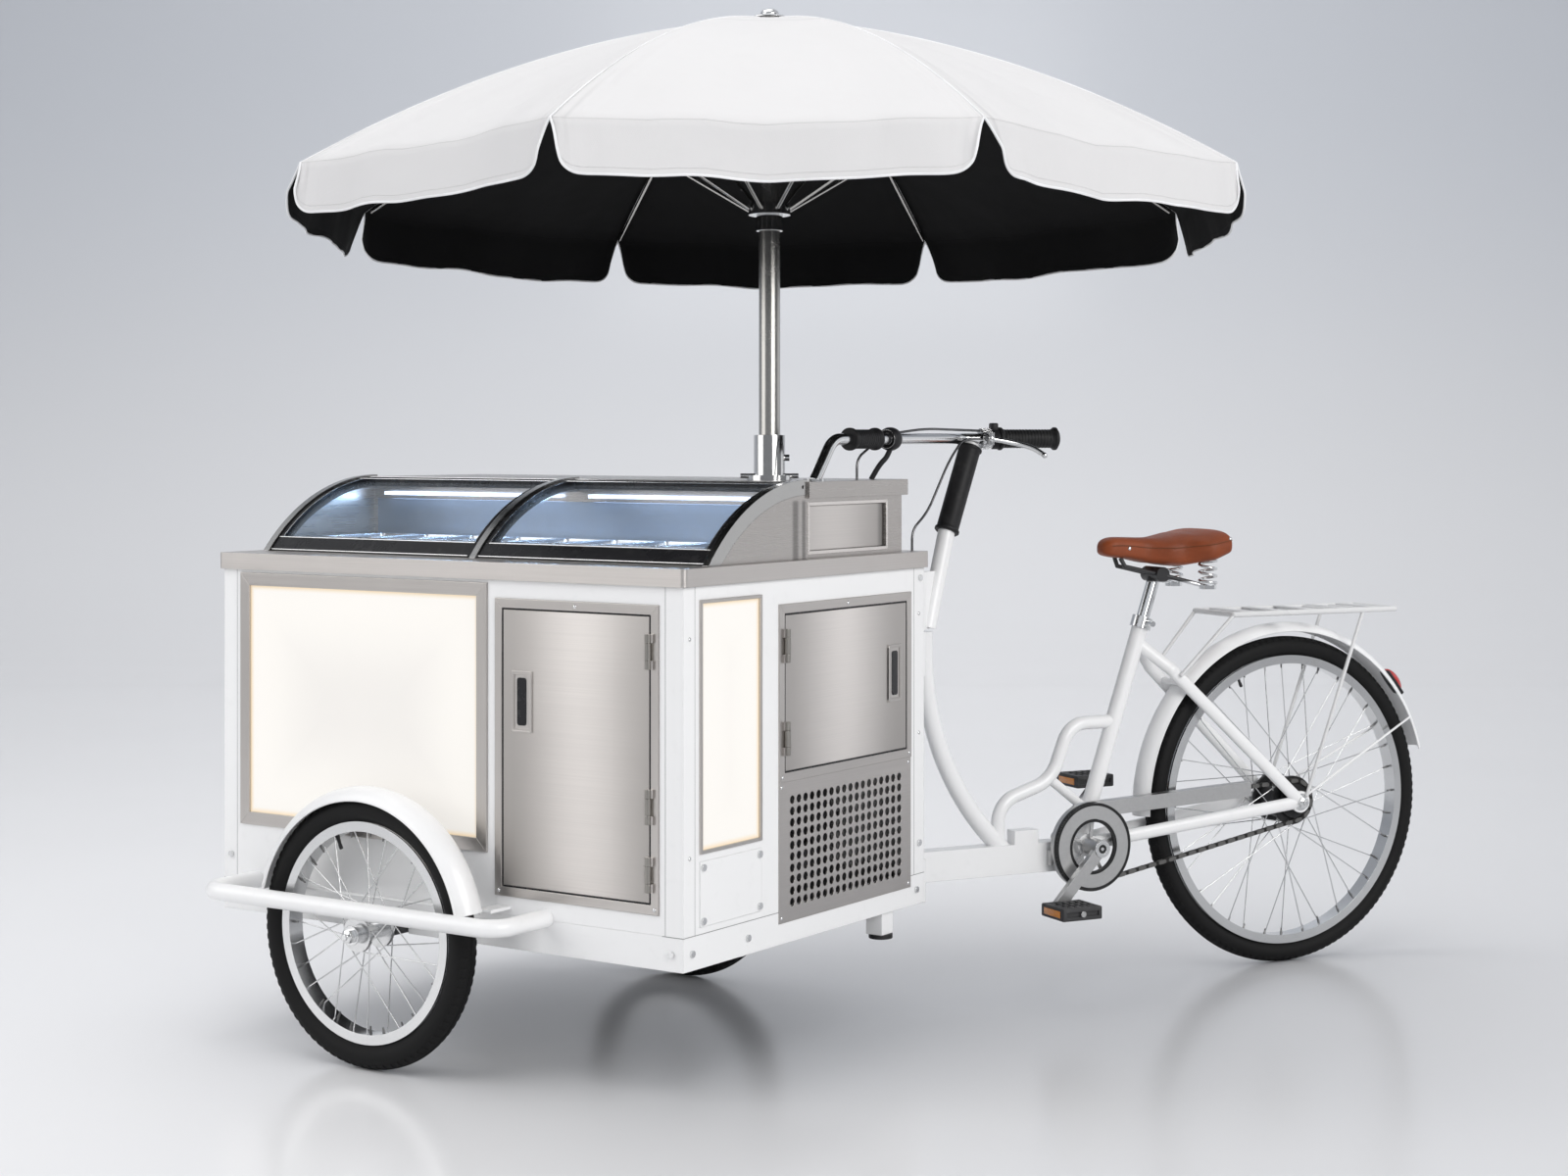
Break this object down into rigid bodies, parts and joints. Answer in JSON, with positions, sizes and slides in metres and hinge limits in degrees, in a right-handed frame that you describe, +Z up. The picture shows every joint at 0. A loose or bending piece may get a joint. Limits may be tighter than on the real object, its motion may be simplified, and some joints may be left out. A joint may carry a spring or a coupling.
{
  "type": "ice cream cart",
  "caption": "Pedal ice cream cart: glazed freezer cabinet on front wheels with a parasol, fixed handlebar and a bicycle frame hinged to its back.",
  "frame": {"origin": "on the floor, under the middle of the whole cart's bounding box", "axes": "+Z up, +Y from the customer's side to the rider's side, +X to the cabinet's service end"},
  "size_m": [1.7879, 2.3842, 1.9411],
  "materials": {
    "white_paint": "satin white paint",
    "dark_paint": "matt dark paint",
    "stainless": "brushed",
    "arch_metal": "brushed",
    "lid_trim": "matt black",
    "glass": "clear",
    "opal": "lit from behind",
    "bright_steel": "polished",
    "rim_metal": "polished",
    "black_metal": "satin black",
    "tyre": "matt",
    "rubber": "matt",
    "black_plastic": "matt",
    "red_lens": "clear red",
    "leather": "smooth",
    "pole_metal": "satin",
    "canopy_cloth": "matt"
  },
  "bodies": {
    "cart": {"service_cover": "white_paint", "bottom_skirt": "white_paint", "cabinet_shell": "white_paint", "wheel_guards": "white_paint", "front_fenders": "white_paint", "handlebar_stem": "white_paint", "hinge_brackets": "white_paint", "parking_foot": "white_paint", "chassis": "dark_paint", "cooling_unit": "dark_paint", "countertop": "stainless", "display_housing": "stainless", "trim_frames": "stainless", "vent_grille": "stainless", "freezer_tub": "stainless", "ice_cream_pans": "stainless", "lid_arches": "arch_metal", "light_panels": "opal", "handlebar": "bright_steel", "body_screws": "bright_steel", "umbrella_socket": "bright_steel", "rubber_grips": "rubber", "bar_controls": "black_plastic", "control_cables": "black_plastic"},
    "rear_bike": {"rear_frame": "white_paint", "rear_fender": "white_paint", "luggage_rack": "bright_steel", "tail_light": "red_lens", "chain_guard": "bright_steel", "drive_chain": "black_metal", "seat_collar": "bright_steel"},
    "rear_wheel": {"rear_tyre": "tyre", "rear_rim": "rim_metal", "rear_hub": "black_metal"},
    "cranks": {"crankset": "bright_steel"},
    "near_pedal_body": {"near_pedal": "black_plastic"},
    "far_pedal_body": {"far_pedal": "black_plastic"},
    "seat": {"seat_post": "bright_steel", "saddle": "leather", "saddle_springs": "bright_steel"},
    "left_wheel": {"left_front_tyre": "tyre", "left_front_rim": "rim_metal", "left_front_hub": "rim_metal"},
    "right_wheel": {"right_front_tyre": "tyre", "right_front_rim": "rim_metal", "right_front_hub": "rim_metal"},
    "side_door_body": {"side_door": "stainless"},
    "end_door_body": {"end_door": "stainless"},
    "left_lid": {"left_lid_frame": "lid_trim", "left_lid_glass": "glass"},
    "right_lid": {"right_lid_frame": "lid_trim", "right_lid_glass": "glass"},
    "fan": {"condenser_fan": "black_plastic"},
    "lever": {"brake_lever": "bright_steel"},
    "umbrella": {"umbrella_pole": "pole_metal", "umbrella_hubs": "bright_steel", "umbrella_ribs": "pole_metal", "umbrella_stretchers": "pole_metal", "umbrella_canopy": "canopy_cloth"}
  },
  "joints": [
    {"name": "steer", "type": "hinge", "parent": "cart", "child": "rear_bike", "pos_m": [0.089, 0.063, 0.48], "axis": [0, 0, 1], "range_deg": [-50, 45]},
    {"name": "rear_wheel_spin", "type": "hinge", "parent": "rear_bike", "child": "rear_wheel", "pos_m": [0.554, 0.8684, 0.35], "axis": [-0.866, 0.5, 0], "continuous": true},
    {"name": "crank_spin", "type": "hinge", "parent": "rear_bike", "child": "cranks", "pos_m": [0.294, 0.41807, 0.29], "axis": [-0.866, 0.5, 0], "continuous": true},
    {"name": "near_pedal_spin", "type": "hinge", "parent": "cranks", "child": "near_pedal_body", "pos_m": [0.35803, 0.26298, 0.1803], "axis": [-0.866, 0.5, 0], "continuous": true},
    {"name": "far_pedal_spin", "type": "hinge", "parent": "cranks", "child": "far_pedal_body", "pos_m": [0.22997, 0.57317, 0.3997], "axis": [-0.866, 0.5, 0], "continuous": true},
    {"name": "seat_height", "type": "slide", "parent": "rear_bike", "child": "seat", "axis": [0.1627, 0.2818, 0.9456], "range_m": [-0.025, 0.05]},
    {"name": "left_wheel_spin", "type": "hinge", "parent": "cart", "child": "left_wheel", "pos_m": [-0.434, 0.03, 0.245], "axis": [0, 1, 0], "continuous": true},
    {"name": "right_wheel_spin", "type": "hinge", "parent": "cart", "child": "right_wheel", "pos_m": [-0.434, -0.926, 0.245], "axis": [0, 1, 0], "continuous": true},
    {"name": "side_door_hinge", "type": "hinge", "parent": "cart", "child": "side_door_body", "pos_m": [0.133, -0.8503, 0.584], "axis": [0, 0, 1], "range_deg": [0, 110]},
    {"name": "end_door_hinge", "type": "hinge", "parent": "cart", "child": "end_door_body", "pos_m": [0.2093, -0.538, 0.675], "axis": [0, 0, -1], "range_deg": [0, 110]},
    {"name": "left_lid_hinge", "type": "hinge", "parent": "cart", "child": "left_lid", "pos_m": [-0.604, -0.46, 1.04075], "axis": [-1, 0, 0], "range_deg": [0, 60]},
    {"name": "right_lid_hinge", "type": "hinge", "parent": "cart", "child": "right_lid", "pos_m": [-0.08, -0.46, 1.04075], "axis": [-1, 0, 0], "range_deg": [0, 60]},
    {"name": "fan_spin", "type": "hinge", "parent": "cart", "child": "fan", "pos_m": [0.128, -0.333, 0.389], "axis": [1, 0, 0], "continuous": true},
    {"name": "brake_lever_pull", "type": "hinge", "parent": "cart", "child": "lever", "pos_m": [0.24329, 0.1396, 1.127], "axis": [0, 0, 1], "range_deg": [0, 16], "stiffness_Nm_per_rad": 1.5, "springref_deg": -5.73},
    {"name": "umbrella_lift", "type": "slide", "parent": "cart", "child": "umbrella", "axis": [-0.0243, 0.0362, 0.999], "range_m": [0, 0.08]}
  ],
  "couplings": [
    {"joint": "crank_spin", "follows": "rear_wheel_spin", "ratio": 0.54839}
  ]
}
